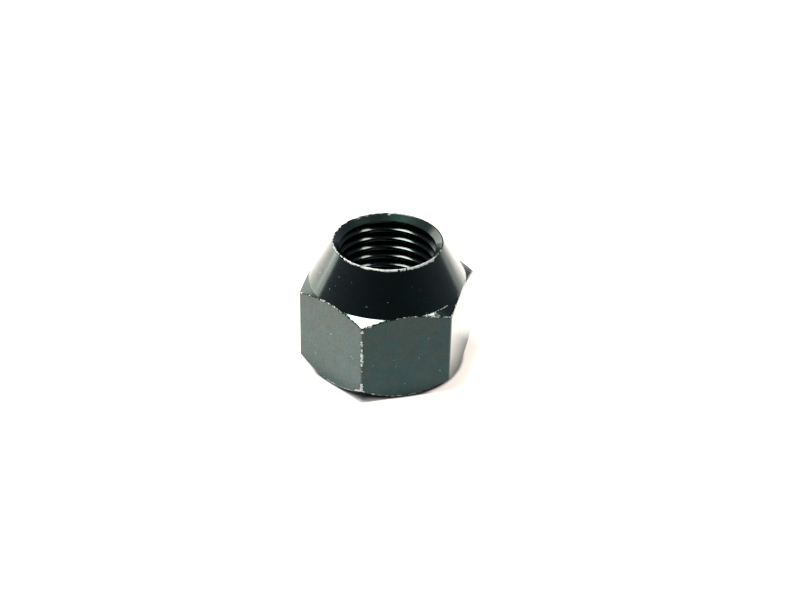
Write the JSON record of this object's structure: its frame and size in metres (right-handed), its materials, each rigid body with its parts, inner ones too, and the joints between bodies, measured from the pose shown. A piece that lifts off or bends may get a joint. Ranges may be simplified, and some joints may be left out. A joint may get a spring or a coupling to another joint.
{
  "type": "wheel lug nut",
  "caption": "Open-ended hexagonal lug nut with a conical seat, a chamfered base and a countersunk stud hole; clamps a road wheel to its hub stud.",
  "frame": {"origin": "centre of the flat base, on the axis of the stud hole", "axes": "+Z along the stud hole, from the flat base to the rim of the conical seat; +X through two opposite corners of the hexagon; -Y is the outward direction of one flat"},
  "size_m": [0.0218, 0.0188, 0.0164],
  "materials": {
    "black_steel": "black phosphate and oil on turned steel, worn bright along its edges"
  },
  "bodies": {
    "root": {"lug_nut": "black_steel"}
  },
  "joints": []
}
